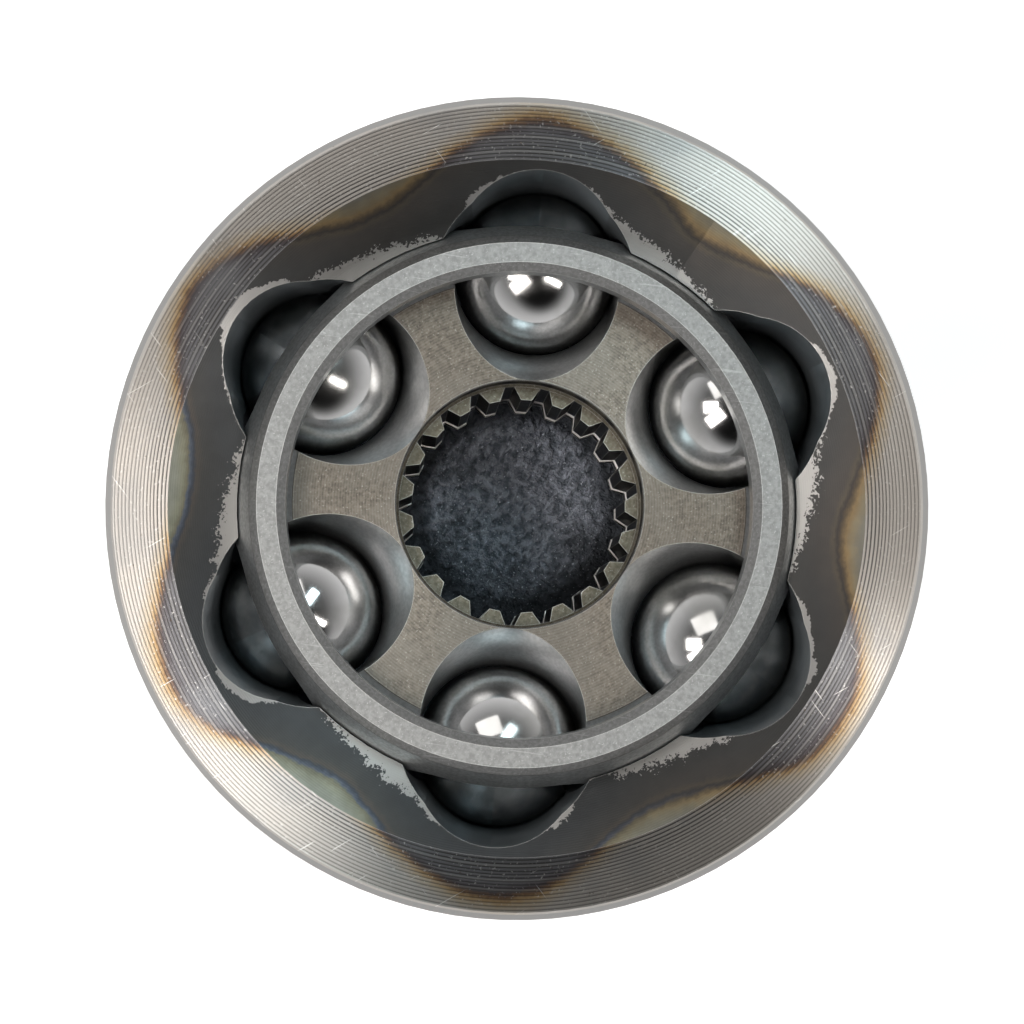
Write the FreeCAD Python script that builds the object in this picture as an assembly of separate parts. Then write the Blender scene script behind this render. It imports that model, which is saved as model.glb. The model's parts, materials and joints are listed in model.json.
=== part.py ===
# Fixed-ball constant velocity joint: the wheel-side joint of a car's drive shaft, in millimetres.
#
# The origin is the joint's centre, the one point about which everything bends. +Z runs along the
# axis and out of the bell's open mouth; the stub shaft that goes through the wheel hub points to -Z.
# Six balls carry the torque. Each one lies where a track in the bell (the outer race) crosses a
# track in the inner race, and a cage holds all six in one plane. The two sets of tracks are arcs
# about two points of the axis, one above and one below the joint's centre, so the crossings, and
# the balls with them, always lie in the plane that halves the joint's bend.

import FreeCAD, Part
import os
from math import atan, cos, radians, sin, sqrt, tan

# ---- balls and tracks
ball_d = 17.462            # a standard 11/16 inch bearing ball
ball_count = 6
first_ball_deg = 30.0      # azimuth of ball_1, so that two of the balls lie on the Y axis
track_offset = 3.0         # from the joint's centre to the centre of either set of tracks
track_clearance = 0.12     # all round a ball in its track
track_end_deg = 54.0       # how far the bell's tracks run down below the height of their centre
track_flare = 0.5          # the bell's tracks open outwards by this much at the mouth
edge_relief_bore = 0.5     # a bell track's two edges are broken this far along the bore
edge_relief_flank = 1.0    # and this far down the track's flank

# ---- the bend that the joint is drawn at: slight, as one lies when its half shaft is out
rest_bend_deg = 4.5        # about the Y axis, so that the star's open face leans towards +X

# ---- inner race (the star) and its internal spline
spline_teeth = 21
spline_root_r = 12.9
spline_tooth_height = 1.4
spline_tip_half_deg = 2.9
spline_root_half_deg = 2.2
spline_first_deg = 13.0    # azimuth of one tooth
counterbore_step = 0.3     # the smooth mouth of the bore is this much wider than the spline's roots
counterbore_depth = 3.0
bore_chamfer = 0.15
race_web = 3.85            # metal between the counterbore and a track, level with the balls
race_land_rise = 0.4       # the race's lands stand this far outside the circle of ball centres
race_near = 8.0            # from the joint's centre to the race's face in the mouth
race_far = 12.0            # and to its face at the bottom
race_chamfer = 0.9
race_chamfer_drop = 0.6    # the chamfer's height, as a share of its width
race_track_end_deg = 50.0  # the tracks run out past both faces
clip_groove_width = 1.9
clip_groove_depth = 0.5
clip_groove_from_face = 2.6

# ---- cage
sphere_clearance = 0.2     # between the race and the cage, and between the cage and the bell
cage_wall = 4.7
cage_rim = 5.0             # from the edge of a window to the cage's flat face
window_clearance = 0.3     # above and below a ball
window_play = 1.5          # beside a ball, for its swing to and fro along the window
window_corner_r = 4.5
cage_lip = 2.0             # how far the lips close in on the race's sphere
cage_inner_chamfer = 0.9
cage_outer_chamfer = 0.8

# ---- bell
mouth_lip = 1.0            # the mouth's flat face stands this far above the cage's
mouth_cone_depth = 4.5
cone_margin = 0.9          # from the track's edge to the edge of the flat face
mouth_face_width = 6.6     # the flat face with its outer chamfer
mouth_chamfer = 0.9
bell_wall = 7.1            # outside the tracks, all the way round the forged body
collar_height = 11.0       # the machined band round the mouth, which the boot is clamped on
boot_groove_from_face = 4.2
boot_groove_width = 4.2
boot_groove_depth = 1.2
boot_groove_slope = 0.6
cavity_end_r = 16.0        # the bottom of the bell ends in a shallow round pocket
cavity_end_gap = 2.6       # below the lowest that the race can reach
cavity_end_chamfer = 1.2
bell_floor = 11.0          # from the pocket's floor to the shoulder that meets the hub bearing

# ---- stub shaft
shoulder_r = 24.0
shoulder_chamfer = 1.0
shoulder_fillet = 4.0
journal_r = 15.5
journal_length = 16.0
stub_chamfer = 0.8
neck_length = 3.0
neck_depth = 0.9
hub_spline_teeth = 28
hub_spline_tip_r = 13.9
hub_spline_tooth_height = 1.1
hub_spline_tip_share = 0.32    # of the pitch, as flats at the tips and between the teeth
hub_spline_root_share = 0.36
hub_spline_length = 50.0
thread_r = 12.0            # M24 x 1.5
thread_pitch = 1.5
thread_depth = 0.9
thread_crest_share = 0.125 # of the pitch, flat at the thread's crest
thread_root_share = 0.06   # and between two turns
thread_seat = 0.2          # how deep the thread's foot is let into its core
thread_length = 26.0
thread_lead_in = 1.4
centre_hole_r = 3.2
centre_hole_depth = 7.0

# ---- worked out from the sizes above
ball_r = ball_d / 2
groove_r = ball_r + track_clearance
counterbore_r = spline_root_r + counterbore_step
pitch_r = counterbore_r + race_web + groove_r
track_r = sqrt(pitch_r**2 + track_offset**2)
race_r = pitch_r + race_land_rise
cage_inner_r = race_r + sphere_clearance
cage_outer_r = cage_inner_r + cage_wall
bore_r = cage_outer_r + sphere_clearance
cage_open_r = cage_inner_r - cage_lip
window_half_height = ball_r + window_clearance
window_half_length = ball_r + window_play
cage_half = window_half_height + cage_rim
mouth_z = cage_half + mouth_lip
cone_r = track_r + groove_r + track_flare + cone_margin
bell_r = cone_r + mouth_face_width
thread_core_r = thread_r - thread_depth
body_r = track_r + groove_r + bell_wall
cavity_floor_z = -(race_r + cavity_end_gap)
shoulder_z = cavity_floor_z - bell_floor
journal_end_z = shoulder_z - journal_length
hub_spline_z = journal_end_z - neck_length
hub_spline_end_z = hub_spline_z - hub_spline_length
thread_z = hub_spline_end_z - neck_length
stub_end_z = thread_z - thread_length
ball_azimuths = [first_ball_deg + 360.0 * n / ball_count for n in range(ball_count)]

CENTRE = FreeCAD.Vector(0, 0, 0)
UP = FreeCAD.Vector(0, 0, 1)
BEND_AXIS = FreeCAD.Vector(0, 1, 0)
PAST = 2.0                 # how far a cutting tool runs out beyond the metal


def on_sphere(radius, height):
    """Distance from the axis of the circle that a sphere about the centre has at a height."""
    return sqrt(radius**2 - height**2)


def at(distance, height):
    return FreeCAD.Vector(distance, 0, height)


def turned(start, *steps):
    """A turned solid. Each step is a point (r, z), or an arc as its middle point and its end."""
    edges = []
    here = at(*start)
    for step in steps + (start,):
        if isinstance(step[0], tuple):
            middle, there = at(*step[0]), at(*step[1])
            edges.append(Part.Arc(here, middle, there).toShape())
        else:
            there = at(*step)
            edges.append(Part.makeLine(here, there))
        here = there
    return Part.Face(Part.Wire(edges)).revolve(CENTRE, UP, 360)


def track_cutter(centre_z, ring_r, tube_r, low_deg, high_deg):
    """A round bar bent about a point of the axis, in the XZ plane; angles count up from level."""
    pivot = at(0, centre_z)
    sideways = FreeCAD.Vector(0, -1, 0)
    section = Part.Face(Part.Wire(Part.makeCircle(tube_r, at(ring_r, centre_z), UP)))
    section.rotate(pivot, sideways, low_deg)
    return section.revolve(pivot, sideways, high_deg - low_deg)


def around(shape):
    """One copy of a shape at each ball."""
    copies = []
    for azimuth in ball_azimuths:
        copy = shape.copy()
        copy.rotate(CENTRE, UP, azimuth)
        copies.append(copy)
    return copies


def toothed_prism(teeth, first_deg, inner_r, outer_r, inner_half_deg, outer_half_deg, low_z, high_z):
    """A prism with a tooth profile: flats at both radii, joined by straight flanks."""
    points = []
    for n in range(teeth):
        middle = first_deg + 360.0 * n / teeth
        gap = middle + 180.0 / teeth
        corners = [(inner_r, middle - inner_half_deg), (inner_r, middle + inner_half_deg)]
        corners += [(outer_r, gap - outer_half_deg), (outer_r, gap + outer_half_deg)]
        for radius, angle in corners:
            points.append(FreeCAD.Vector(radius * cos(radians(angle)), radius * sin(radians(angle)), low_z))
    outline = Part.makePolygon(points + points[:1])
    return Part.Face(outline).extrude(UP * (high_z - low_z))


def ring(inner_r, outer_r, low_z, high_z):
    return turned((inner_r, low_z), (outer_r, low_z), (outer_r, high_z), (inner_r, high_z))


def circular_edges(shape, radius, height):
    """The edges of a shape that are circles about the axis, at one radius and height."""
    found = []
    for edge in shape.Edges:
        if not isinstance(edge.Curve, Part.Circle):
            continue
        middle = edge.Curve.Center
        on_axis = sqrt(middle.x**2 + middle.y**2) < 1e-6
        if on_axis and abs(edge.Curve.Radius - radius) < 1e-4 and abs(middle.z - height) < 1e-4:
            found.append(edge)
    return found


def bell_blank():
    """The forging's outside: collar with boot groove, round body, shoulder and stepped stub."""
    groove_top = mouth_z - boot_groove_from_face
    groove_foot = groove_top - boot_groove_width
    groove_floor_r = bell_r - boot_groove_depth
    collar_foot = mouth_z - collar_height
    neck_end = track_offset - sqrt(body_r**2 - shoulder_r**2)
    halfway = radians(45)
    round_middle = (body_r * cos(halfway), track_offset - body_r * sin(halfway))
    journal_neck_r = journal_r - neck_depth
    core_r = hub_spline_tip_r - hub_spline_tooth_height - neck_depth
    thread_neck_r = thread_core_r - neck_depth
    blank = turned(
        (0, mouth_z),
        (bell_r - mouth_chamfer, mouth_z),
        (bell_r, mouth_z - mouth_chamfer),
        (bell_r, groove_top),
        (groove_floor_r, groove_top - boot_groove_slope),
        (groove_floor_r, groove_foot + boot_groove_slope),
        (bell_r, groove_foot),
        (bell_r, collar_foot),
        (body_r, collar_foot - (bell_r - body_r)),
        (body_r, track_offset),
        (round_middle, (shoulder_r, neck_end)),
        (shoulder_r, shoulder_z + shoulder_chamfer),
        (shoulder_r - shoulder_chamfer, shoulder_z),
        (journal_neck_r, shoulder_z),
        (journal_neck_r, shoulder_z - neck_length + neck_depth),
        (journal_r, shoulder_z - neck_length),
        (journal_r, journal_end_z + stub_chamfer),
        (journal_r - stub_chamfer, journal_end_z),
        (core_r, journal_end_z),
        (core_r, hub_spline_end_z),
        (thread_neck_r, hub_spline_end_z),
        (thread_neck_r, thread_z + neck_depth),
        (thread_core_r, thread_z),
        (thread_core_r, stub_end_z + thread_lead_in),
        (thread_core_r - thread_lead_in, stub_end_z),
        (0, stub_end_z),
    )
    return blank.makeFillet(shoulder_fillet, circular_edges(blank, shoulder_r, neck_end))


def bell_cavity():
    """The spherical bore that the cage turns in, with the mouth's cone and the bottom pocket."""
    bore_top = mouth_z - mouth_cone_depth
    bore_top_r = on_sphere(bore_r, bore_top)
    cone_run = (cone_r - bore_top_r) / mouth_cone_depth * PAST
    pocket_top = -on_sphere(bore_r, cavity_end_r)
    return turned(
        (0, cavity_floor_z),
        (cavity_end_r - cavity_end_chamfer, cavity_floor_z),
        (cavity_end_r, cavity_floor_z + cavity_end_chamfer),
        (cavity_end_r, pocket_top),
        ((bore_r, 0), (bore_top_r, bore_top)),
        (cone_r + cone_run, mouth_z + PAST),
        (0, mouth_z + PAST),
    )


def bell_track(ring_r, tube_r):
    """One bell track: an arc up to the height of its centre, then nearly straight to the mouth."""
    arc = track_cutter(track_offset, ring_r, tube_r, -track_end_deg, 0)
    section = Part.Face(Part.Wire(Part.makeCircle(tube_r, at(ring_r, track_offset), UP)))
    to_mouth = mouth_z - track_offset
    run = to_mouth + PAST
    straight = section.extrude(FreeCAD.Vector(track_flare * run / to_mouth, 0, run))
    return arc.fuse(straight)


def edge_relief_bar():
    """Ring radius and tube radius of the wider, shallower bar that breaks a bell track's edges.

    It crosses the bore a little outside the track's own edge, and the track's flank a little
    below it, so that it takes off only the corner between them.
    """
    edge_x = (bore_r**2 + pitch_r**2 - groove_r**2) / (2 * pitch_r)
    edge_y = on_sphere(bore_r, edge_x)
    bore_y = edge_y + edge_relief_bore
    bore_x = on_sphere(bore_r, bore_y)
    flank_x = edge_x + edge_relief_flank
    flank_y = on_sphere(groove_r, flank_x - pitch_r)
    rise = flank_x - bore_x
    middle_x = (flank_x**2 + flank_y**2 - bore_x**2 - bore_y**2) / (2 * rise)
    return middle_x, sqrt((bore_x - middle_x) ** 2 + bore_y**2)


def hub_spline():
    """The stub's external spline, its ends chamfered down to the neck."""
    root_r = hub_spline_tip_r - hub_spline_tooth_height
    pitch_deg = 360.0 / hub_spline_teeth
    prism = toothed_prism(
        hub_spline_teeth, 0, root_r, hub_spline_tip_r,
        pitch_deg * hub_spline_root_share / 2, pitch_deg * hub_spline_tip_share / 2,
        hub_spline_end_z, hub_spline_z,
    )
    ease = hub_spline_tooth_height
    envelope = turned(
        (0, hub_spline_z), (root_r, hub_spline_z), (hub_spline_tip_r, hub_spline_z - ease),
        (hub_spline_tip_r, hub_spline_end_z + ease), (root_r, hub_spline_end_z), (0, hub_spline_end_z),
    )
    return prism.common(envelope)


def nut_thread():
    """The axle nut's thread: one tooth carried along a helix, its two ends turned off."""
    foot_r = thread_core_r - thread_seat
    foot_half = thread_pitch * (1 - thread_root_share) / 2
    crest_half = thread_pitch * thread_crest_share / 2
    start_z = stub_end_z + foot_half
    tooth = Part.makePolygon([
        at(foot_r, start_z - foot_half),
        at(thread_r, start_z - crest_half),
        at(thread_r, start_z + crest_half),
        at(foot_r, start_z + foot_half),
        at(foot_r, start_z - foot_half),
    ])
    path = Part.makeHelix(thread_pitch, thread_length - foot_half * 2, thread_core_r)
    path.translate(UP * start_z)
    ridge = Part.Wire(path.Edges).makePipeShell([tooth], True, True)
    low_r = thread_core_r - thread_lead_in
    high_r = thread_r + PAST
    slope = high_r - low_r
    envelope = turned(
        (0, stub_end_z), (low_r, stub_end_z), (high_r, stub_end_z + slope),
        (high_r, thread_z + thread_lead_in - slope), (low_r, thread_z + thread_lead_in),
        (0, thread_z + thread_lead_in),
    )
    return ridge.common(envelope)


def centre_hole():
    """The countersunk centre that the stub turned on in the lathe and the grinder."""
    mouth = centre_hole_r + stub_chamfer
    return turned(
        (0, stub_end_z - PAST),
        (mouth + PAST, stub_end_z - PAST),
        (mouth, stub_end_z),
        (centre_hole_r, stub_end_z + stub_chamfer),
        (centre_hole_r, stub_end_z + centre_hole_depth - centre_hole_r),
        (0, stub_end_z + centre_hole_depth),
    )


def outer_race():
    """The bell and the stub shaft, one forging."""
    blank = bell_blank().fuse([hub_spline(), nut_thread()])
    tracks = around(bell_track(track_r, groove_r))
    reliefs = around(bell_track(*edge_relief_bar()))
    return blank.cut(bell_cavity()).cut(tracks).cut(reliefs).cut(centre_hole())


def inner_race():
    """The star: a ball with its two ends faced off, six tracks round it and a splined bore."""
    low = -race_far
    near_r = on_sphere(race_r, race_near)
    far_r = on_sphere(race_r, race_far)
    drop = race_chamfer * race_chamfer_drop
    star = turned(
        (0, race_near),
        (near_r - race_chamfer, race_near),
        (on_sphere(race_r, race_near - drop), race_near - drop),
        ((race_r, 0), (on_sphere(race_r, low + drop), low + drop)),
        (far_r - race_chamfer, low),
        (0, low),
    )
    track = track_cutter(-track_offset, track_r, groove_r, -race_track_end_deg, race_track_end_deg)
    star = star.cut(around(track))
    spline = toothed_prism(
        spline_teeth, spline_first_deg, spline_root_r - spline_tooth_height, spline_root_r,
        spline_tip_half_deg, spline_root_half_deg, low - PAST, race_near + PAST,
    )
    counterbore_z = race_near - counterbore_depth
    counterbore = turned(
        (0, counterbore_z - counterbore_step), (spline_root_r, counterbore_z - counterbore_step),
        (counterbore_r, counterbore_z), (counterbore_r, race_near - bore_chamfer),
        (counterbore_r + bore_chamfer + PAST, race_near + PAST), (0, race_near + PAST),
    )
    tip_r = spline_root_r - spline_tooth_height
    far_lead = turned(
        (0, low - PAST), (spline_root_r + PAST, low - PAST), (tip_r, low + spline_tooth_height),
        (0, low + spline_tooth_height),
    )
    clip_low = low + clip_groove_from_face
    clip_groove = ring(
        tip_r / 2, spline_root_r + clip_groove_depth, clip_low, clip_low + clip_groove_width,
    )
    return star.cut(spline).cut(counterbore).cut(far_lead).cut(clip_groove)


def cage():
    """A hollow ball with both ends faced off, and one window for each ball."""
    lip_z = on_sphere(cage_inner_r, cage_open_r)
    side = cage_half - cage_outer_chamfer
    side_r = on_sphere(cage_outer_r, side)
    face_inner_r = cage_open_r + cage_inner_chamfer
    face_outer_r = side_r - cage_outer_chamfer
    bevel = cage_half - cage_inner_chamfer
    shell = turned(
        (face_inner_r, cage_half),
        (face_outer_r, cage_half),
        (side_r, side),
        ((cage_outer_r, 0), (side_r, -side)),
        (face_outer_r, -cage_half),
        (face_inner_r, -cage_half),
        (cage_open_r, -bevel),
        (cage_open_r, -lip_z),
        ((cage_inner_r, 0), (cage_open_r, lip_z)),
        (cage_open_r, bevel),
    )
    reach = cage_outer_r + PAST - pitch_r / 2
    window = Part.makeBox(reach, 2 * window_half_length, 2 * window_half_height)
    window.translate(FreeCAD.Vector(pitch_r / 2, -window_half_length, -window_half_height))
    radial_edges = [edge for edge in window.Edges if abs(edge.tangentAt(edge.FirstParameter).x) > 0.5]
    return shell.cut(around(window.makeFillet(window_corner_r, radial_edges)))


def ball(azimuth):
    """A ball where its two tracks cross: on its bell track, in the plane that halves the bend."""
    lift = atan(-cos(radians(azimuth)) * tan(radians(rest_bend_deg / 2)))
    reach = track_offset * sin(lift) + sqrt(track_r**2 - (track_offset * cos(lift)) ** 2)
    level = reach * cos(lift)
    place = FreeCAD.Vector(level * cos(radians(azimuth)), level * sin(radians(azimuth)), reach * sin(lift))
    return Part.makeSphere(ball_r, place)


def leaned(shape, angle):
    """A piece turned about the bend axis from where it was drawn in line with the bell."""
    turned_copy = shape.copy()
    turned_copy.rotate(CENTRE, BEND_AXIS, angle)
    return turned_copy


def write(node, shape):
    solid = shape.removeSplitter()
    solid = solid.Solids[0]
    solid.exportStep(os.path.join("parts", node + ".step"))
    box = solid.BoundBox
    print("%-12s %9.1f mm3  z %7.2f to %6.2f  r %6.2f" % (node, solid.Volume, box.ZMin, box.ZMax, box.XMax))


os.makedirs("parts", exist_ok=True)
write("outer_race", outer_race())
write("cage", leaned(cage(), rest_bend_deg / 2))
write("inner_race", leaned(inner_race(), rest_bend_deg))
for number, azimuth in enumerate(ball_azimuths, start=1):
    write("ball_%d" % number, ball(azimuth))
print("circle of ball centres r %.3f, track arcs r %.3f about z +/-%.2f" % (pitch_r, track_r, track_offset))
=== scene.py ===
# %% [markdown]
# # A fixed-ball constant velocity joint
#
# The joint stands on the end of its stub shaft and is seen from above, straight into the open mouth
# of its bell. Inside the bell sit a cage, six balls and a star-shaped inner race. The CAD model
# already holds these pieces at their real size, so this lesson loads it as a fixed frame and spends
# its effort on what CAD leaves out: turned, ground and forged steel, the colours that heat leaves on
# it, and the small things such as the true roundness of the balls.

import json
from math import asin, cos, degrees, pi, radians, sin, sqrt

import bmesh
import bpy
from mathutils import Matrix, Vector

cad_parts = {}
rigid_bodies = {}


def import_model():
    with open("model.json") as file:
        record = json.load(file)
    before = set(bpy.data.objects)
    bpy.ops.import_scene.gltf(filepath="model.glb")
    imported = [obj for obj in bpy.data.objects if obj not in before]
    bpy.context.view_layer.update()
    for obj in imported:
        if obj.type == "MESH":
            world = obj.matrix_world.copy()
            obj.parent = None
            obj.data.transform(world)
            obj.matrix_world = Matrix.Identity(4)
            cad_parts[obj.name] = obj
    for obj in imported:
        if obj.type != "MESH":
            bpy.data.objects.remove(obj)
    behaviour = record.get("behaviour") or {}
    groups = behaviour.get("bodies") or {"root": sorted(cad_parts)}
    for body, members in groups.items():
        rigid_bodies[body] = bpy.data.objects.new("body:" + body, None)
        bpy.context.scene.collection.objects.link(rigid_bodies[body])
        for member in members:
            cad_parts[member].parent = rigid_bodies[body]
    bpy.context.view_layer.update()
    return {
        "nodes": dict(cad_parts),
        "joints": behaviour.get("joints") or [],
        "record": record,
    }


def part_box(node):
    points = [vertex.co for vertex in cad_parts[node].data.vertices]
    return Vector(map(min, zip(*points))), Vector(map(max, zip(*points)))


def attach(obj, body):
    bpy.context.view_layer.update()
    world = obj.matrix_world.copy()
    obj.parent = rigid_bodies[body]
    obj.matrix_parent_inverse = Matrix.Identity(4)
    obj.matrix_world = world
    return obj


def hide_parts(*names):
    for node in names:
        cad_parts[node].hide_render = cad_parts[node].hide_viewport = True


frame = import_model()
nodes = frame["nodes"]
MM = 0.001
print("CAD pieces:", ", ".join(sorted(nodes)))

# %% [markdown]
# ## Sizes
#
# A finish follows the shape that it lies on: turning marks run round the axis, heat colours lie
# round the tracks, and the bore's tooth ends catch the light. So the materials need the joint's main
# sizes. Some can be read from the frame. The rest are the same driving sizes that the part was drawn
# with.

# %% Read the sizes
joints = {joint["name"]: joint for joint in frame["joints"]}
mounts = {mount["name"]: mount for mount in frame["record"]["mounts"]}


def middle_of(node):
    low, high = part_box(node)
    return (low + high) / 2


bell_low, bell_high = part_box("outer_race")
ball_low, ball_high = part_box("ball_2")
mouth_z = bell_high.z
stub_end_z = bell_low.z
bell_r = bell_high.x
ball_r = (ball_high.x - ball_low.x) / 2
pitch_r = middle_of("ball_2").y
track_offset = joints["ball_1_roll"]["pos_m"][2]
track_r = sqrt(pitch_r**2 + track_offset**2)
lean = asin(mounts["half_shaft_spline"]["axis"][0])
shoulder_z = mounts["hub_bearing_shoulder"]["pos_m"][2]

track_count = 6
track_step = 2 * pi / track_count
first_track = radians(30)
track_clearance = 0.12 * MM
track_flare = 0.5 * MM
groove_r = ball_r + track_clearance
track_mouth_r = track_r + track_flare
mouth_face_width = 6.6 * MM
cone_r = bell_r - mouth_face_width
cone_depth = 4.5 * MM
cone_inner_r = 29.58 * MM
collar_height = 11.0 * MM
cage_face_z = 14.031 * MM
star_face_z = 8.0 * MM
counterbore_r = 13.2 * MM
tooth_end_z = 4.85 * MM
clip_groove_z = -9.4 * MM
print("bell radius %.1f mm, ball radius %.2f mm" % (bell_r / MM, ball_r / MM))
print("the inner race leans %.1f degrees" % degrees(lean))

# %% [markdown]
# ## Helpers for shader nodes
#
# Materials here are node trees written in code. A few small helpers keep them readable: they add a
# node, link or fill a socket, do arithmetic, lay one colour over another, and build and place
# groups. Effects that several finishes share become node groups, so each is built once and placed
# with its own values.

# %% Node helpers
def put(tree, kind, **settings):
    """Adds a shader node and sets its properties."""
    node = tree.nodes.new("ShaderNode" + kind)
    for name, value in settings.items():
        setattr(node, name, value)
    return node


def feed(tree, socket, source):
    """Links another socket into this one, or writes a plain value there."""
    if isinstance(source, bpy.types.NodeSocket):
        tree.links.new(source, socket)
    else:
        socket.default_value = source


def maths(tree, operation, *values):
    node = put(tree, "Math", operation=operation)
    for socket, value in zip(node.inputs, values):
        feed(tree, socket, value)
    return node.outputs[0]


def length_of(tree, first, second):
    """The long side of a right-angled triangle with these two short sides."""
    first_square = maths(tree, "MULTIPLY", first, first)
    second_square = maths(tree, "MULTIPLY", second, second)
    return maths(tree, "SQRT", maths(tree, "ADD", first_square, second_square))


def dot_product(tree, first, second):
    node = put(tree, "VectorMath", operation="DOT_PRODUCT")
    feed(tree, node.inputs[0], first)
    feed(tree, node.inputs[1], second)
    return node.outputs["Value"]


def blend_colors(tree, factor, first, second):
    node = put(tree, "Mix", data_type="RGBA")
    feed(tree, node.inputs[0], factor)
    feed(tree, node.inputs[6], first)
    feed(tree, node.inputs[7], second)
    return node.outputs[2]


def blend_values(tree, factor, first, second):
    node = put(tree, "Mix", data_type="FLOAT")
    feed(tree, node.inputs[0], factor)
    feed(tree, node.inputs[2], first)
    feed(tree, node.inputs[3], second)
    return node.outputs[0]


def lay_over(tree, color, *layers):
    """Lays layers over a colour in turn; each is a mask, its share from 0 to 1, and a colour."""
    for mask, share, top in layers:
        color = blend_colors(tree, maths(tree, "MULTIPLY", mask, share), color, top)
    return color


def ramp(tree, factor, stops):
    """A colour ramp from (position, colour) pairs."""
    node = put(tree, "ValToRGB")
    elements = node.color_ramp.elements
    while len(elements) < len(stops):
        elements.new(0.5)
    for element, (position, color) in zip(elements, stops):
        element.position = position
        element.color = tuple(color) + (1,)
    feed(tree, node.inputs["Fac"], factor)
    return node.outputs["Color"]


def between(tree, value, low, high):
    """1 where value lies between low and high, else 0."""
    above = maths(tree, "GREATER_THAN", value, low)
    below = maths(tree, "LESS_THAN", value, high)
    return maths(tree, "MULTIPLY", above, below)


def near(tree, value, target, slack):
    """1 where value is within slack of target, else 0."""
    gap = maths(tree, "ABSOLUTE", maths(tree, "SUBTRACT", value, target))
    return maths(tree, "LESS_THAN", gap, slack)


def fade(tree, value, start, end):
    """Runs smoothly from 0 at start to 1 at end; start may be the larger."""
    node = put(tree, "MapRange", interpolation_type="SMOOTHSTEP")
    for socket, number in zip(node.inputs, (value, start, end, 0.0, 1.0)):
        feed(tree, socket, number)
    return node.outputs[0]


def noise(tree, position, scale, detail=2.0, roughness=0.5):
    """Noise about 0.5; the scale is in blobs to the metre."""
    node = put(tree, "TexNoise")
    feed(tree, node.inputs["Vector"], position)
    feed(tree, node.inputs["Scale"], scale)
    node.inputs["Detail"].default_value = detail
    node.inputs["Roughness"].default_value = roughness
    return node.outputs["Fac"]


def line_noise(tree, distance, scale, detail):
    """Noise about 0.5 that changes with one distance only."""
    node = put(tree, "TexNoise", noise_dimensions="1D")
    feed(tree, node.inputs["W"], distance)
    node.inputs["Scale"].default_value = scale
    node.inputs["Detail"].default_value = detail
    return node.outputs["Fac"]


def shake(tree, distance, grains, reach):
    """Moves a distance by noise, to either side by up to half of reach."""
    return maths(tree, "MULTIPLY_ADD", maths(tree, "SUBTRACT", grains, 0.5), reach, distance)


def make_group(name, inputs, outputs):
    """A new node group, with inputs as (name, kind, default) and outputs as (name, kind)."""
    group = bpy.data.node_groups.new(name, "ShaderNodeTree")
    for socket_name, kind, default in inputs:
        socket = group.interface.new_socket(
            socket_name, in_out="INPUT", socket_type="NodeSocket" + kind
        )
        if default is not None:
            socket.default_value = default
    for socket_name, kind in outputs:
        group.interface.new_socket(
            socket_name, in_out="OUTPUT", socket_type="NodeSocket" + kind
        )
    given = group.nodes.new("NodeGroupInput").outputs
    result = group.nodes.new("NodeGroupOutput").inputs
    return group, given, result


def place(tree, group, **values):
    """Places a group in a tree; the values are named as its inputs, with _ for a space."""
    node = put(tree, "Group", node_tree=group)
    for name, value in values.items():
        feed(tree, node.inputs[name.replace("_", " ")], value)
    return node.outputs


def new_material(name, anisotropy=0.0):
    """A steel material: its tree, its principled shader and the object coordinates."""
    material = bpy.data.materials.new(name)
    material.use_nodes = True
    tree = material.node_tree
    shader = tree.nodes["Principled BSDF"]
    shader.inputs["Metallic"].default_value = 1.0
    if anisotropy:
        shader.inputs["Anisotropic"].default_value = anisotropy
        shader.inputs["Anisotropic Rotation"].default_value = 0.25
        tangent = put(tree, "Tangent", direction_type="RADIAL", axis="Z")
        feed(tree, shader.inputs["Tangent"], tangent.outputs[0])
    position = put(tree, "TexCoord").outputs["Object"]
    return material, tree, shader, position


def relief(tree, height, distance, strength=1.0, normal=None):
    """A bump, whose height of 1 stands up by the given distance."""
    node = put(tree, "Bump")
    node.inputs["Strength"].default_value = strength
    node.inputs["Distance"].default_value = distance
    feed(tree, node.inputs["Height"], height)
    if normal is not None:
        feed(tree, node.inputs["Normal"], normal)
    return node.outputs["Normal"]


print("node helpers ready")

# %% [markdown]
# ## Camera
#
# The joint is seen from straight above its mouth, from about a forearm's length away. A longer lens
# keeps the wide mouth and the deep bore in nearly the same scale, as a telephone's close-up does.

# %% Place the camera
camera_distance = 280 * MM
camera_turn = radians(-55.5)
camera_place = Vector((-0.5 * MM, -0.35 * MM, camera_distance + mouth_z))
camera_data = bpy.data.cameras.new("camera")
camera_data.lens = 94.7
camera_data.sensor_width = 36
camera = bpy.data.objects.new("camera", camera_data)
bpy.context.scene.collection.objects.link(camera)
camera.rotation_euler = (0, 0, camera_turn)
camera.location = Matrix.Rotation(camera_turn, 3, "Z") @ camera_place
bpy.context.scene.camera = camera
bpy.context.scene.view_settings.view_transform = "Standard"
print("camera %.0f mm above the mouth" % (camera_distance / MM))

# %% [markdown]
# ## Studio
#
# Bare steel has no colour of its own to speak of: what it shows is the room. A room that is pale
# at the walls and dimmer overhead, with a few soft panels, gives the bright and dark sectors that
# turned steel has. One side of the room is shaded by whoever looks on. Panels are area lights, so
# they also show in the polished balls.

# %% Room and lights
def picture_turned(angle_deg, distance):
    """A horizontal offset, with the angle counted as the camera sees it: 0 to its right."""
    angle = radians(angle_deg) + camera_turn
    return Vector((distance * cos(angle), distance * sin(angle), 0))


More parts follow.
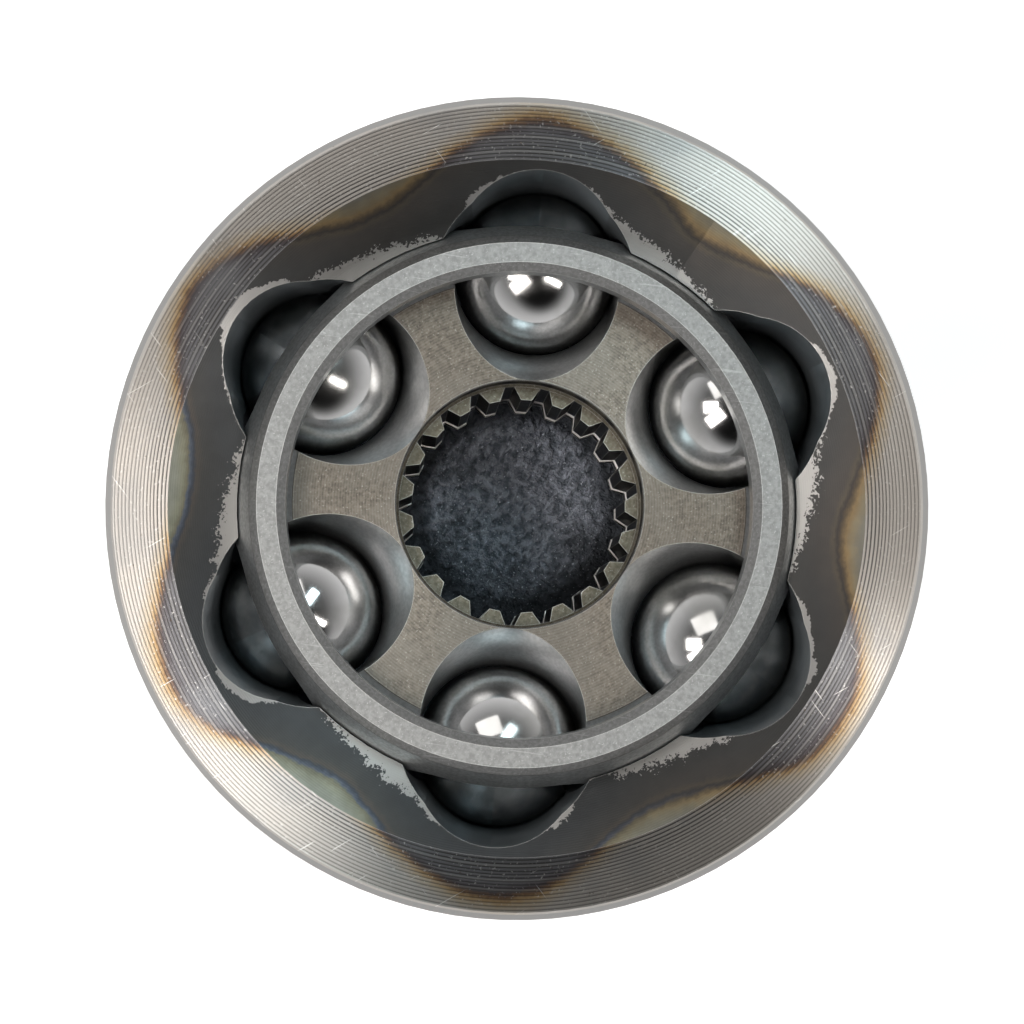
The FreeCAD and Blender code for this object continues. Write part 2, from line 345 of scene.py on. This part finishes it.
def panel(name, angle_deg, distance, height, size, energy, color=(1.0, 0.98, 0.95)):
    """A soft panel that faces the joint."""
    data = bpy.data.lights.new(name, "AREA")
    data.shape = "RECTANGLE"
    data.size, data.size_y = size
    data.energy = energy
    data.color = color
    light = bpy.data.objects.new(name, data)
    light.location = picture_turned(angle_deg, distance) + Vector((0, 0, height))
    light.rotation_euler = (-light.location).to_track_quat("-Z", "Y").to_euler()
    bpy.context.scene.collection.objects.link(light)
    return light


world = bpy.data.worlds.new("room")
world.use_nodes = True
bpy.context.scene.world = world
room = world.node_tree
direction = put(room, "TexCoord").outputs["Generated"]
upward = put(room, "SeparateXYZ")
feed(room, upward.inputs[0], direction)
wall_shade = (1.0, 1.0, 1.0)
ceiling_shade = (0.14, 0.14, 0.14)
room_color = ramp(room, upward.outputs["Z"], [(0.10, wall_shade), (0.80, ceiling_shade)])
onlooker = picture_turned(-75, 0.48) + Vector((0, 0, 1.0))
toward = dot_product(room, direction, onlooker.normalized())
shading = 0.96
background = room.nodes["Background"]
feed(room, background.inputs["Color"], room_color)
feed(
    room, background.inputs["Strength"],
    maths(room, "MULTIPLY_ADD", fade(room, toward, 0.72, 0.94), -shading, 1.0),
)

daylight = (1.0, 0.97, 0.93)
panel("window_panel", -143, 0.47, 0.90, (0.28, 0.50), 2.9, color=(1.0, 0.96, 0.93))
panel("side_panel", -179, 0.47, 0.86, (0.26, 0.36), 2.1, color=daylight)
panel("sky_panel", 54, 0.47, 0.90, (0.22, 0.44), 1.9, color=(0.76, 0.95, 1.0))
panel("ceiling_panel", 112, 0.55, 0.85, (0.60, 0.50), 1.5)
panel("door_panel", -26, 0.50, 0.90, (0.12, 0.44), 1.8, color=daylight)
lights = sorted(item.name for item in bpy.data.objects if item.type == "LIGHT")
print("panels:", ", ".join(lights))

# %% [markdown]
# ## Position about the axis
#
# Nearly every mark on this joint runs round its axis or repeats with its six tracks. The first group
# turns a position into a distance from the axis, an angle round it and a height. The second folds
# the angle so that all six tracks fall on one, and gives the distance from that track's middle line.

# %% Groups for position
axis_group, given, result = make_group(
    "position_about_axis", [("Position", "Vector", None)],
    [("Radius", "Float"), ("Angle", "Float"), ("Height", "Float")],
)
parts = put(axis_group, "SeparateXYZ")
feed(axis_group, parts.inputs[0], given["Position"])
x_part, y_part, z_part = parts.outputs
feed(axis_group, result["Radius"], length_of(axis_group, x_part, y_part))
feed(axis_group, result["Angle"], maths(axis_group, "ARCTAN2", y_part, x_part))
feed(axis_group, result["Height"], z_part)

track_group, given, result = make_group(
    "distance_from_track",
    [("Radius", "Float", 0.0), ("Angle", "Float", 0.0), ("Track Radius", "Float", track_mouth_r)],
    [("Distance", "Float")],
)
folded = maths(track_group, "SUBTRACT", given["Angle"], first_track - track_step / 2)
folded = maths(track_group, "FLOORED_MODULO", folded, track_step)
folded = maths(track_group, "SUBTRACT", folded, track_step / 2)
along = maths(track_group, "MULTIPLY", given["Radius"], maths(track_group, "COSINE", folded))
along = maths(track_group, "SUBTRACT", along, given["Track Radius"])
across = maths(track_group, "MULTIPLY", given["Radius"], maths(track_group, "SINE", folded))
feed(track_group, result["Distance"], length_of(track_group, along, across))
print("position groups:", axis_group.name, track_group.name)

# %% [markdown]
# ## Turning marks
#
# A lathe tool leaves a fine groove at each turn of the work. A sine of the distance across the marks
# draws them; a little noise in its phase keeps them from looking printed. The group gives a height
# for a bump, and the same height tells a colour where the grooves lie.

# %% Turning marks group
marks_group, given, result = make_group(
    "turning_marks",
    [("Distance", "Float", 0.0), ("Pitch", "Float", 0.4 * MM), ("Unevenness", "Float", 0.5)],
    [("Height", "Float")],
)
drift = line_noise(marks_group, given["Distance"], 500, 2.0)
shift = maths(marks_group, "MULTIPLY", drift, given["Unevenness"])
turns = maths(marks_group, "DIVIDE", given["Distance"], given["Pitch"])
turns = maths(marks_group, "ADD", turns, shift)
wave = maths(marks_group, "SINE", maths(marks_group, "MULTIPLY", turns, 2 * pi))
feed(marks_group, result["Height"], fade(marks_group, wave, -1.0, 0.4))
print("turning marks group ready")

# %% [markdown]
# ## Heat colours
#
# The tracks are hardened by induction: a coil heats each one, and the steel round it grows an oxide
# skin whose colour tells how hot it was. From the cool side it runs bare, straw, brown, purple and
# then a dark blue-grey. The edge of the heat swings out round every track and in between them, so
# the group measures the distance from a six-lobed line and reads the colour from a ramp. The skin on
# the cone is paler and bluer on one side of the bell and browner on the other.

# %% Heat colours group
heat_group, given, result = make_group(
    "heat_colours",
    [("Position", "Vector", None), ("Reach", "Float", 37.5 * MM), ("Swing", "Float", 3.0 * MM)],
    [("Turned Color", "Color"), ("Skin Color", "Color")],
)
about = place(heat_group, axis_group, Position=given["Position"])
lobes = maths(heat_group, "SUBTRACT", about["Angle"], first_track)
lobes = maths(heat_group, "COSINE", maths(heat_group, "MULTIPLY", lobes, float(track_count)))
edge = maths(heat_group, "MULTIPLY_ADD", lobes, given["Swing"], given["Reach"])
edge = shake(heat_group, edge, noise(heat_group, given["Position"], 90, 2.0), 2.4 * MM)
edge = shake(heat_group, edge, noise(heat_group, given["Position"], 1500, 3.0), 0.7 * MM)
outside = maths(heat_group, "DIVIDE", maths(heat_group, "SUBTRACT", about["Radius"], edge), MM)
ramp_place = maths(heat_group, "MULTIPLY_ADD", outside, 0.1, 0.5)
turned_color = ramp(
    heat_group, ramp_place,
    [
        (0.20, (0.170, 0.168, 0.175)),
        (0.36, (0.150, 0.145, 0.155)),
        (0.44, (0.095, 0.080, 0.085)),
        (0.49, (0.210, 0.130, 0.080)),
        (0.53, (0.440, 0.300, 0.160)),
        (0.59, (0.490, 0.410, 0.310)),
        (0.70, (0.510, 0.475, 0.440)),
    ],
)
pale_skin = ramp(
    heat_group, ramp_place,
    [
        (0.10, (0.074, 0.077, 0.080)),
        (0.34, (0.082, 0.082, 0.080)),
        (0.40, (0.105, 0.095, 0.085)),
        (0.435, (0.070, 0.078, 0.095)),
        (0.47, (0.115, 0.135, 0.170)),
        (0.50, (0.200, 0.190, 0.140)),
        (0.55, (0.270, 0.275, 0.210)),
        (0.64, (0.310, 0.320, 0.270)),
    ],
)
brown_skin = ramp(
    heat_group, ramp_place,
    [
        (0.10, (0.072, 0.070, 0.068)),
        (0.36, (0.080, 0.072, 0.066)),
        (0.41, (0.096, 0.082, 0.066)),
        (0.45, (0.058, 0.052, 0.048)),
        (0.49, (0.105, 0.080, 0.055)),
        (0.54, (0.230, 0.165, 0.090)),
        (0.60, (0.215, 0.180, 0.120)),
        (0.68, (0.170, 0.160, 0.135)),
    ],
)
pale_side = radians(165)
side = maths(heat_group, "COSINE", maths(heat_group, "SUBTRACT", about["Angle"], pale_side))
paleness = fade(heat_group, side, -0.1, 0.8)
skin_color = blend_colors(heat_group, paleness, brown_skin, pale_skin)
feed(heat_group, result["Turned Color"], turned_color)
feed(heat_group, result["Skin Color"], skin_color)
print("heat colours group ready")

# %% [markdown]
# ## Ragged edges, grain, scratches and worn, highlit corners
#
# Where a finish has rubbed off, its border is torn and not a clean line, so the first group shakes a
# distance with fine noise before cutting it. Grain is the fine mottling of tumbled or phosphated
# steel, with a few bright specks that are partly real and partly painted glints. Scratches are noise
# that is squeezed across one direction until only thin streaks of its peaks are left. The last group
# finds sharp corners with the Bevel node: it compares the true normal with a rounded one, and where
# they differ the corner is painted bright, partly as wear and partly as a painted highlight.

# %% Ragged edge group
ragged_group, given, result = make_group(
    "ragged_edge",
    [("Position", "Vector", None), ("Distance", "Float", 0.0), ("Tear", "Float", 0.8 * MM)],
    [("Inside", "Float")],
)
edge_softness = 0.03 * MM
coarse_tears = noise(ragged_group, given["Position"], 700, 2.0)
fine_tears = noise(ragged_group, given["Position"], 3200, 3.0, 0.6)
fine_reach = maths(ragged_group, "MULTIPLY", given["Tear"], 1.3)
torn = shake(ragged_group, given["Distance"], coarse_tears, given["Tear"])
torn = shake(ragged_group, torn, fine_tears, fine_reach)
feed(ragged_group, result["Inside"], fade(ragged_group, torn, edge_softness, -edge_softness))
print("ragged edge group ready")

# %% Grain, scratch and corner groups
grain_group, given, result = make_group(
    "steel_grain",
    [("Position", "Vector", None), ("Coarse", "Float", 400.0), ("Fine", "Float", 3500.0)],
    [("Mottle", "Float"), ("Speck", "Float")],
)
mottle = noise(grain_group, given["Position"], given["Coarse"], 4.0)
specks = noise(grain_group, given["Position"], given["Fine"], 3.0)
feed(grain_group, result["Mottle"], fade(grain_group, mottle, 0.3, 0.7))
# Bright specks: partly real specks in the steel, partly painted glints.
feed(grain_group, result["Speck"], fade(grain_group, specks, 0.62, 0.72))

scratch_group, given, result = make_group(
    "scratches",
    [("Position", "Vector", None), ("Turn", "Float", 0.0), ("Rarity", "Float", 0.74)],
    [("Scratch", "Float")],
)
turned = put(scratch_group, "VectorRotate", rotation_type="Z_AXIS")
feed(scratch_group, turned.inputs["Vector"], given["Position"])
feed(scratch_group, turned.inputs["Angle"], given["Turn"])
squeezed = put(scratch_group, "VectorMath", operation="MULTIPLY")
feed(scratch_group, squeezed.inputs[0], turned.outputs[0])
squeezed.inputs[1].default_value = (130, 4200, 130)
streaks = noise(scratch_group, squeezed.outputs[0], 1.0, 1.0)
full_streak = maths(scratch_group, "ADD", given["Rarity"], 0.03)
feed(
    scratch_group, result["Scratch"],
    fade(scratch_group, streaks, given["Rarity"], full_streak),
)

corner_group, given, result = make_group(
    "worn_corners", [("Corner Radius", "Float", 0.15 * MM)], [("Worn", "Float")],
)
rounded = put(corner_group, "Bevel", samples=6)
feed(corner_group, rounded.inputs["Radius"], given["Corner Radius"])
true_normal = put(corner_group, "NewGeometry").outputs["Normal"]
agreement = dot_product(corner_group, rounded.outputs["Normal"], true_normal)
# The mask marks corners for bright paint: partly wear, partly a painted highlight.
feed(corner_group, result["Worn"], fade(corner_group, agreement, 0.995, 0.93))
print("groups:", ", ".join(sorted(group.name for group in bpy.data.node_groups)))

# %% [markdown]
# ## The bell
#
# One forging carries many finishes: a turned face tinted by heat, a dark cone whose skin is chipped
# off at its edges, black tracks, a rough pocket that was never machined, and outside it a turned
# collar, forging scale, ground journal and rolled splines. One material holds them all and picks by
# radius and height, so that neighbouring finishes meet exactly at the edges of the form. The first
# cell works out where each finish lies, as masks that are 1 on it and 0 elsewhere.

# %% Regions of the bell
bell_steel, tree, shader, position = new_material("bell_steel", anisotropy=0.9)
about = place(tree, axis_group, Position=position)
radius, angle, height = about["Radius"], about["Angle"], about["Height"]
track = place(tree, track_group, Radius=radius, Angle=angle)["Distance"]

hair = 0.03 * MM
inner_limit_r = 38 * MM
worn_chamfer = 0.22 * MM
chamfer_z = mouth_z - 1.0 * MM
collar_z = mouth_z - collar_height - 0.05 * MM
shaft_z = shoulder_z + 1.2 * MM
cavity_low_z = -30 * MM
pocket_edge_z = -19 * MM
pocket_wall_z = -23 * MM
inner_sphere_r = bell_r - 3.4 * MM

cone_low_z = mouth_z - cone_depth
slope = (cone_r - cone_inner_r) / cone_depth
cone_line = maths(tree, "MULTIPLY_ADD", height, slope, cone_inner_r - cone_low_z * slope)
on_cone = maths(
    tree, "MULTIPLY", near(tree, radius, cone_line, 0.12 * MM),
    between(tree, height, cone_low_z - 0.1 * MM, mouth_z - hair),
)
beyond_cone = maths(tree, "GREATER_THAN", radius, inner_limit_r)
lowered_face = maths(tree, "MULTIPLY_ADD", beyond_cone, worn_chamfer, height)
on_face = maths(tree, "GREATER_THAN", lowered_face, mouth_z - hair)
on_chamfer = maths(tree, "GREATER_THAN", height, chamfer_z)

above_tracks = maths(tree, "SUBTRACT", height, track_offset)
from_track_middle = length_of(tree, radius, above_tracks)
inside = maths(
    tree, "MULTIPLY", maths(tree, "LESS_THAN", from_track_middle, inner_sphere_r),
    between(tree, height, cavity_low_z, mouth_z - hair),
)
inside = maths(tree, "MULTIPLY", inside, maths(tree, "LESS_THAN", radius, inner_limit_r))
in_pocket = maths(tree, "MULTIPLY", inside, fade(tree, height, pocket_edge_z, pocket_wall_z))

on_collar = between(tree, height, collar_z, mouth_z)
on_shaft = maths(tree, "LESS_THAN", height, shaft_z)
turned_face = maths(tree, "MAXIMUM", on_face, maths(tree, "MAXIMUM", on_collar, on_shaft))
machined = maths(tree, "MAXIMUM", turned_face, maths(tree, "MAXIMUM", on_cone, inside))
scaled = maths(tree, "SUBTRACT", 1.0, machined)
print("bell regions: face, cone, inside, pocket, collar, shaft and scale")

# %% [markdown]
# The turned face starts from its heat colour. Rings wear bright, dirt and painted shade darken the
# grooves between them, and smudges, scratches, specks that are partly painted glints, and pits lie
# over both.

# %% Turned face of the bell
grain = place(tree, grain_group, Position=position)
heat = place(tree, heat_group, Position=position)
turning = maths(tree, "ADD", radius, height)
rings = line_noise(tree, turning, 1200, 3.0)
marks = place(tree, marks_group, Distance=turning, Pitch=0.37 * MM)["Height"]
grooves = maths(tree, "SUBTRACT", 1.0, marks)
# Dirt and painted shade darken the grooves between the marks, most strongly towards the bore.
groove_share = blend_values(tree, fade(tree, radius, 40 * MM, 37 * MM), 0.55, 0.88)
smudges = fade(tree, noise(tree, position, 75, 3.0), 0.50, 0.66)
first_scratches = place(tree, scratch_group, Position=position, Turn=0.45, Rarity=0.735)
second_scratches = place(tree, scratch_group, Position=position, Turn=1.9, Rarity=0.745)
scratches = maths(
    tree, "MAXIMUM", first_scratches["Scratch"], second_scratches["Scratch"],
)
pits = fade(tree, noise(tree, position, 1500, 2.0), 0.27, 0.22)
face_color = lay_over(
    tree, heat["Turned Color"],
    (fade(tree, rings, 0.50, 0.70), 0.3, (0.60, 0.58, 0.55, 1)),
    (grooves, groove_share, (0.06, 0.058, 0.056, 1)),
    (smudges, 0.35, (0.24, 0.245, 0.255, 1)),
    (scratches, 0.8, (0.85, 0.83, 0.80, 1)),
    # Bright specks, partly painted glints.
    (grain["Speck"], 0.38, (0.80, 0.78, 0.75, 1)),
    (pits, 0.6, (0.10, 0.07, 0.05, 1)),
)
print("turned face: six layers over the heat colour")

# %% [markdown]
# The cone's skin has chipped off along the tracks' edges and along the bore's edge. Between each track
# and the next the chips at the bore grow steadily wider, all the way round in the same sense.

# %% Cone, tracks and pocket of the bell
track_rim = noise(tree, position, 90, 1.0)
rim_reach = maths(tree, "MULTIPLY_ADD", track_rim, 5.0 * MM, groove_r - 2.45 * MM)
past_rim = maths(tree, "SUBTRACT", track, rim_reach)
rim_chips = place(tree, ragged_group, Position=position, Distance=past_rim, Tear=0.9 * MM)
sweep = maths(tree, "SUBTRACT", first_track, angle)
sweep = maths(tree, "FLOORED_MODULO", sweep, track_step)
bore_reach = maths(tree, "MULTIPLY_ADD", sweep, -6.3 * MM, 33.8 * MM)
past_bore = maths(tree, "SUBTRACT", radius, bore_reach)
bore_chips = place(tree, ragged_group, Position=position, Distance=past_bore, Tear=2.4 * MM)
chips = maths(tree, "MAXIMUM", rim_chips["Inside"], bore_chips["Inside"])
skin = lay_over(tree, heat["Skin Color"], (grain["Mottle"], 0.25, (0.05, 0.05, 0.05, 1)))
cone_color = blend_colors(tree, chips, skin, (0.40, 0.385, 0.37, 1))

track_color = blend_colors(
    tree, grain["Mottle"], (0.150, 0.168, 0.180, 1), (0.195, 0.212, 0.225, 1),
)

lumps = noise(tree, position, 900, 4.0, 0.6)
pocket_color = blend_colors(
    tree, fade(tree, lumps, 0.35, 0.65), (0.15, 0.17, 0.20, 1), (0.44, 0.47, 0.55, 1),
)
# Painted shade: the pocket is painted darker towards one side, with an edge made uneven by noise.
shaded_side = radians(-115)
toward_shaded_side = dot_product(tree, position, (cos(shaded_side), sin(shaded_side), 0))
pocket_painted_shade = maths(tree, "MULTIPLY_ADD", toward_shaded_side, 14.0, noise(tree, position, 85, 2.0))
pocket_color = lay_over(
    tree, pocket_color,
    (fade(tree, pocket_painted_shade, 0.42, 0.66), 0.75, (0.05, 0.055, 0.06, 1)),
    # Painted glints: pale blue specks over the pocket.
    (grain["Speck"], 0.8, (0.85, 0.90, 1, 1)),
    # Painted shade: the pocket's outer ring, next to the bore's wall, is painted nearly black.
    (fade(tree, radius, 9.3 * MM, 11.8 * MM), 0.85, (0.02, 0.022, 0.024, 1)),
)
inner_color = blend_colors(tree, in_pocket, track_color, pocket_color)
print("cone, tracks and pocket have their colours")

# %% [markdown]
# Outside, the collar and its chamfer are turned, the body keeps its dark forging scale, and the
# shaft is ground. All finishes then meet in one colour, and every sharp corner is painted bright,
# partly as wear and partly as a painted highlight.

# %% Outside of the bell, and its shader
scale_color = blend_colors(
    tree, grain["Mottle"], (0.060, 0.062, 0.068, 1), (0.105, 0.105, 0.11, 1),
)
collar_color = blend_colors(tree, rings, (0.36, 0.35, 0.34, 1), (0.58, 0.57, 0.56, 1))
chamfer_color = blend_colors(tree, rings, (0.18, 0.175, 0.17, 1), (0.50, 0.49, 0.48, 1))
color = scale_color
for region, region_color in (
    (on_collar, collar_color),
    (on_chamfer, chamfer_color),
    (on_shaft, (0.55, 0.54, 0.52, 1)),
    (inside, inner_color),
    (on_cone, cone_color),
    (on_face, face_color),
):
    color = blend_colors(tree, region, color, region_color)
# Every sharp corner is painted bright: partly wear, partly a painted highlight.
corners = place(tree, corner_group, Corner_Radius=0.16 * MM)
color = lay_over(tree, color, (corners["Worn"], 0.75, (0.62, 0.61, 0.59, 1)))
feed(tree, shader.inputs["Base Color"], color)

roughness = blend_values(tree, turned_face, 0.50, 0.30)
roughness = blend_values(tree, inside, roughness, blend_values(tree, in_pocket, 0.30, 0.38))
roughness = blend_values(tree, on_cone, roughness, blend_values(tree, chips, 0.46, 0.34))
roughness = blend_values(tree, scaled, roughness, 0.62)
feed(tree, shader.inputs["Roughness"], roughness)
feed(tree, shader.inputs["Metallic"], maths(tree, "MULTIPLY_ADD", scaled, -0.85, 1.0))

forged_skin = maths(tree, "MULTIPLY", noise(tree, position, 450, 4.0), scaled)
pocket_lumps = maths(tree, "MULTIPLY", lumps, in_pocket)
marked = maths(tree, "MULTIPLY_ADD", on_cone, 0.35, turned_face)
normal = relief(tree, forged_skin, 0.10 * MM, strength=0.5)
normal = relief(tree, pocket_lumps, 0.45 * MM, normal=normal)
normal = relief(tree, maths(tree, "MULTIPLY", marks, marked), 0.006 * MM, normal=normal)
feed(tree, shader.inputs["Normal"], normal)
nodes["outer_race"].material_slots[0].material = bell_steel
print("bell material:", len(tree.nodes), "nodes")

# %% [markdown]
# ## The cage and the inner race
#
# Both are leaned a little, so their marks must lie in their own leaned frames: a Mapping node turns
# the coordinates back by that piece's own lean. The cage is tumbled and lightly phosphated, pale
# grey and without direction.

# %% Cage material
def leaned_position(tree, position, angle):
    """Coordinates in the frame of a piece that is leaned about Y."""
    mapping = put(tree, "Mapping")
    feed(tree, mapping.inputs["Vector"], position)
    mapping.inputs["Rotation"].default_value = (0, -angle, 0)
    return mapping.outputs[0]


cage_steel, tree, shader, position = new_material("cage_steel")
position = leaned_position(tree, position, lean / 2)
about = place(tree, axis_group, Position=position)
grain = place(tree, grain_group, Position=position, Coarse=2600.0, Fine=4800.0)
rubs = place(tree, scratch_group, Position=position, Turn=1.1, Rarity=0.70)["Scratch"]
rim_color = blend_colors(
    tree, grain["Mottle"], (0.25, 0.248, 0.244, 1), (0.34, 0.338, 0.332, 1),
)
rim_color = lay_over(
    tree, rim_color,
    (grain["Speck"], 0.7, (0.52, 0.52, 0.51, 1)),
    (rubs, 0.4, (0.50, 0.50, 0.49, 1)),
)
# Painted light: the side is given a paler grey than the rim, to make up for the dark bell it mirrors.
side_color = blend_colors(
    tree, grain["Mottle"], (0.42, 0.43, 0.43, 1), (0.58, 0.59, 0.59, 1),
)
rim_depth = 0.95 * MM
on_rim = maths(tree, "GREATER_THAN", about["Height"], cage_face_z - rim_depth)
color = blend_colors(tree, on_rim, side_color, rim_color)
# Every sharp corner is painted bright: partly wear, partly a painted highlight.
corners = place(tree, corner_group, Corner_Radius=0.13 * MM)
color = lay_over(tree, color, (corners["Worn"], 0.9, (0.80, 0.79, 0.77, 1)))
feed(tree, shader.inputs["Base Color"], color)
shader.inputs["Roughness"].default_value = 0.48
cage_marks = place(tree, marks_group, Distance=about["Radius"], Pitch=0.45 * MM)["Height"]
normal = relief(tree, noise(tree, position, 1800, 4.0, 0.6), 0.03 * MM, strength=0.6)
normal = relief(tree, cage_marks, 0.002 * MM, normal=normal)
feed(tree, shader.inputs["Normal"], normal)
nodes["cage"].material_slots[0].material = cage_steel
print("cage material:", len(tree.nodes), "nodes")

# %% [markdown]
# The inner race is turned all over and then hardened, which leaves it a browner grey. Its bore is
# painted nearly black as shade, so only the near ends of the teeth keep the steel's colour, and the
# ledge of the clip groove and the burred edge at the far end are painted bright as highlights.

# %% Inner race material
star_steel, tree, shader, position = new_material("star_steel", anisotropy=0.5)
position = leaned_position(tree, position, lean)
about = place(tree, axis_group, Position=position)
radius, height = about["Radius"], about["Height"]
grain = place(tree, grain_group, Position=position, Coarse=2300.0, Fine=4600.0)
turning = maths(tree, "ADD", radius, height)
marks = place(tree, marks_group, Distance=turning, Pitch=0.30 * MM, Unevenness=0.3)["Height"]
on_end = maths(tree, "GREATER_THAN", height, star_face_z - 0.05 * MM)
in_bore = maths(tree, "LESS_THAN", radius, counterbore_r + 0.05 * MM)
in_track = maths(tree, "LESS_THAN", maths(tree, "MAXIMUM", on_end, in_bore), 0.5)

face_color = blend_colors(
    tree, grain["Mottle"], (0.122, 0.103, 0.084, 1), (0.222, 0.189, 0.158, 1),
)
patches = fade(tree, noise(tree, position, 130, 3.0), 0.42, 0.60)
face_color = lay_over(
    tree, face_color,
    (patches, 0.5, (0.210, 0.187, 0.162, 1)),
    (marks, 0.2, (0.33, 0.30, 0.26, 1)),
)
groove_color = blend_colors(
    tree, grain["Mottle"], (0.40, 0.405, 0.41, 1), (0.50, 0.505, 0.51, 1),
)
tooth_color = blend_colors(
    tree, grain["Mottle"], (0.13, 0.115, 0.085, 1), (0.21, 0.19, 0.15, 1),
)
# Painted shade: the bore is painted nearly black, except at the near ends of the teeth.
tooth_end = near(tree, height, tooth_end_z, 0.2 * MM)
bore_color = blend_colors(tree, tooth_end, (0.030, 0.029, 0.028, 1), tooth_color)
# Painted highlights: the clip groove's ledge and the burred edge at the far end are painted near
# white.
clip_ledge = near(tree, height, clip_groove_z, 0.1 * MM)
far_edge_turning = 1.15 * MM
far_edge = maths(tree, "LESS_THAN", turning, far_edge_turning)
painted_highlight_edges = maths(tree, "MAXIMUM", clip_ledge, far_edge)
bore_color = blend_colors(tree, painted_highlight_edges, bore_color, (0.85, 0.83, 0.80, 1))
color = blend_colors(tree, on_end, groove_color, face_color)
color = blend_colors(tree, in_bore, color, bore_color)
# Every sharp corner is painted bright: partly wear, partly a painted highlight.
corners = place(tree, corner_group, Corner_Radius=0.15 * MM)
color = lay_over(
    tree, color,
    (grain["Speck"], 0.65, (0.44, 0.42, 0.37, 1)),
    (corners["Worn"], 0.8, (0.62, 0.60, 0.56, 1)),
)
feed(tree, shader.inputs["Base Color"], color)
feed(tree, shader.inputs["Roughness"], blend_values(tree, in_track, 0.42, 0.30))
out_of_track = maths(tree, "SUBTRACT", 1.0, in_track)
sand = maths(tree, "MULTIPLY", noise(tree, position, 2200, 3.0), out_of_track)
normal = relief(tree, sand, 0.015 * MM, strength=0.5)
normal = relief(tree, marks, 0.004 * MM, normal=normal)
feed(tree, shader.inputs["Normal"], normal)
nodes["inner_race"].material_slots[0].material = star_steel
print("inner race material:", len(tree.nodes), "nodes")

# %% [markdown]
# ## Balls
#
# A bearing ball is the roundest and most polished thing in the joint, and shows a whole small
# picture of the room. CAD facets would break that picture up, so each ball is a fine icosphere that
# stands for the CAD one. It rides on the same body and so rolls with the joint.

# %% Balls
ball_steel, tree, shader, position = new_material("ball_steel")
smear = fade(tree, noise(tree, position, 160, 3.0), 0.45, 0.65)
ball_color = blend_colors(tree, smear, (0.60, 0.595, 0.59, 1), (0.50, 0.495, 0.48, 1))
feed(tree, shader.inputs["Base Color"], ball_color)
feed(tree, shader.inputs["Roughness"], blend_values(tree, smear, 0.10, 0.17))

ball_count = track_count
for number in range(1, ball_count + 1):
    name = "ball_%d" % number
    bm = bmesh.new()
    bmesh.ops.create_icosphere(
        bm, subdivisions=5, radius=ball_r, matrix=Matrix.Translation(middle_of(name))
    )
    for face in bm.faces:
        face.smooth = True
    mesh = bpy.data.meshes.new("polished_" + name)
    bm.to_mesh(mesh)
    bm.free()
    mesh.materials.append(ball_steel)
    polished = bpy.data.objects.new("polished_" + name, mesh)
    bpy.context.scene.collection.objects.link(polished)
    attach(polished, name)
    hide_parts(name)
print(ball_count, "balls of", len(mesh.polygons), "faces each")

# %% [markdown]
# ## Floor
#
# The shaft stands on a sheet of white paper. Seen directly or mirrored in steel the paper glows a
# little, so it stays white to its edges, while its light on the joint is only what it reflects.

# %% Floor
reach = 3.0
corner_places = ((-reach, -reach), (reach, -reach), (reach, reach), (-reach, reach))
floor_mesh = bpy.data.meshes.new("floor")
floor_mesh.from_pydata([(x, y, stub_end_z) for x, y in corner_places], [], [(0, 1, 2, 3)])
paper = bpy.data.materials.new("paper")
paper.use_nodes = True
paper_tree = paper.node_tree
paper_shader = paper_tree.nodes["Principled BSDF"]
paper_shader.inputs["Base Color"].default_value = (0.93, 0.93, 0.93, 1)
paper_shader.inputs["Roughness"].default_value = 0.9
paper_shader.inputs["Emission Color"].default_value = (1, 1, 1, 1)
rays = put(paper_tree, "LightPath").outputs
seen = maths(paper_tree, "MAXIMUM", rays["Is Camera Ray"], rays["Is Glossy Ray"])
seen = maths(paper_tree, "MAXIMUM", seen, rays["Is Transmission Ray"])
glow = 0.4
feed(
    paper_tree, paper_shader.inputs["Emission Strength"],
    maths(paper_tree, "MULTIPLY", seen, glow),
)
floor_mesh.materials.append(paper)
floor = bpy.data.objects.new("floor", floor_mesh)
bpy.context.scene.collection.objects.link(floor)
print("floor %.1f mm below the joint's centre" % (-stub_end_z / MM))
